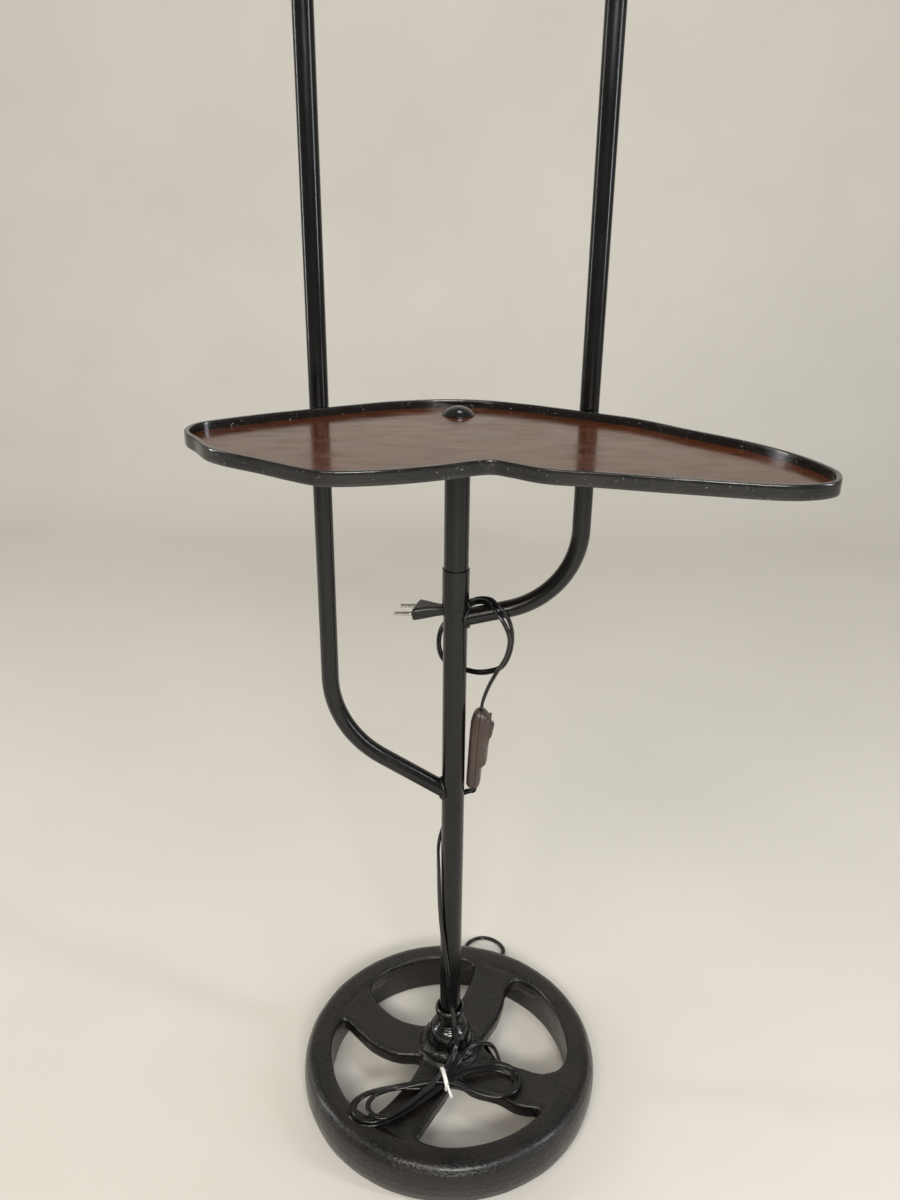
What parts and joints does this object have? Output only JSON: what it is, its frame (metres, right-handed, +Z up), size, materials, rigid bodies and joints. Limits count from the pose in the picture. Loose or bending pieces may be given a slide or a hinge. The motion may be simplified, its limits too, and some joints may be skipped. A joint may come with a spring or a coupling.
{
  "type": "torchiere floor lamp",
  "caption": "Floor lamp on a cast wheel base: a column with a shaped tray, two bent side tubes that carry upward bowls, and a cord with an inline rocker switch.",
  "frame": {"origin": "on the floor, on the column's axis", "axes": "+Z up along the column, +X to the lamp's right, towards the taller side tube, +Y to the back"},
  "size_m": [0.477, 0.4305, 1.6156],
  "materials": {
    "cast_iron": "rough, worn black paint over sand-cast iron",
    "black_tube": "satin black paint",
    "gloss_black": "gloss black",
    "filler": "dull, hand-smoothed",
    "steel": "plain",
    "black_plastic": "moulded, slight gloss",
    "tray_lacquer": "dark brown-black lacquer with a high gloss",
    "brass": "turned",
    "bowl_paint": "black outside, white inside",
    "plated_cap": "nickel plated",
    "opal": "opal",
    "white_plastic": "moulded",
    "flex": "black flat twin flex, slight gloss",
    "brown_plastic": "dark brown moulding"
  },
  "bodies": {
    "stand": {"wheel_base": "cast_iron", "column_lower": "black_tube", "column_upper": "black_tube", "column_sleeve": "black_tube", "column_collar": "gloss_black", "collar_screw": "steel", "collar_bead": "filler", "cord_grommet": "black_plastic", "branch_left": "black_tube", "branch_right": "black_tube", "weld_beads": "black_tube", "top_plug": "steel", "tray_washer": "steel", "tray_board": "tray_lacquer", "tray_strip": "gloss_black", "tray_screw": "gloss_black", "bush_left": "black_plastic", "bush_right": "black_plastic", "nipple_left": "brass", "nipple_right": "brass", "bowl_left": "bowl_paint", "bowl_right": "bowl_paint", "bowl_nuts": "brass", "holder_cap_left": "black_plastic", "holder_cap_right": "black_plastic", "holder_skirt_left": "black_plastic", "holder_skirt_right": "black_plastic", "bulb_cap_left": "plated_cap", "bulb_cap_right": "plated_cap", "bulb_globe_left": "opal", "bulb_globe_right": "opal", "splice_block": "white_plastic", "wire_left": "flex", "wire_right": "flex", "wire_supply": "flex", "cord_floor": "flex", "cord_hank": "flex", "cord_tie": "white_plastic", "cord_riser": "flex", "cord_switch_to_plug": "flex", "switch_front": "brown_plastic", "switch_back": "brown_plastic", "switch_pin": "steel", "switch_screws": "steel", "plug_body": "black_plastic", "plug_pins": "plated_cap"},
    "rocker": {"switch_rocker": "brown_plastic"}
  },
  "joints": [
    {"name": "rocker_tip", "type": "hinge", "parent": "stand", "child": "rocker", "pos_m": [0.02783, 0.00148, 0.44327], "axis": [0.1734, 0.9848, -0.0091], "range_deg": [-14, 0]}
  ]
}
